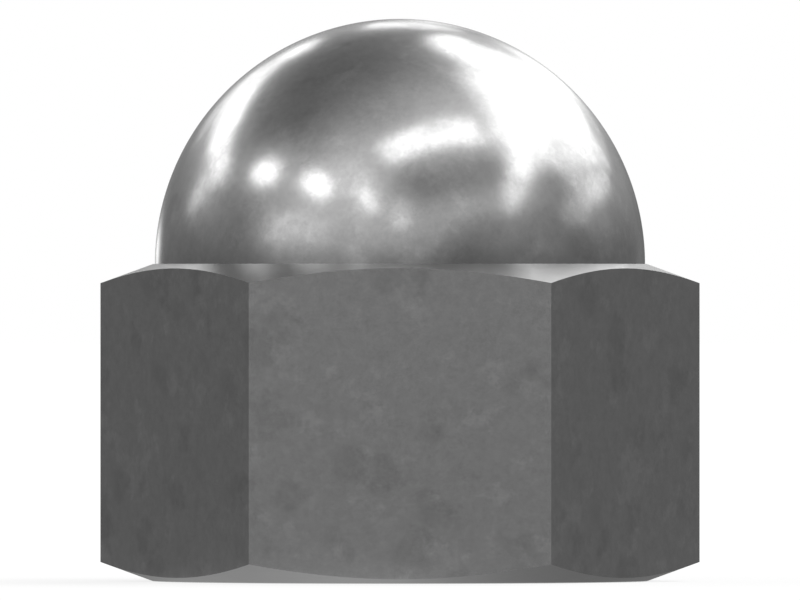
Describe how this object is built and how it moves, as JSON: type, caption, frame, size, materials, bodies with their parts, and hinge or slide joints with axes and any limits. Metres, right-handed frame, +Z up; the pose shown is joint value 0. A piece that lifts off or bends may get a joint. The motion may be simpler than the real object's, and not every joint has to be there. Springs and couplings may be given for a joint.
{
  "type": "domed cap nut",
  "caption": "Hexagon cap nut with a hemispherical dome over one end and a blind threaded hole; covers and closes a bolt's end.",
  "frame": {"origin": "middle of the flat bearing face that the nut stands on", "axes": "+Z up the axis of the thread to the top of the dome, +Y and -Y square to two of the six flats, +X and -X through two corners"},
  "size_m": [0.0128, 0.011, 0.0119],
  "materials": {
    "bright_steel": "bright plain steel, satin smooth, with a faint cloudy mottle and a fine grain"
  },
  "bodies": {
    "root": {"cap_nut": "bright_steel"}
  },
  "joints": []
}
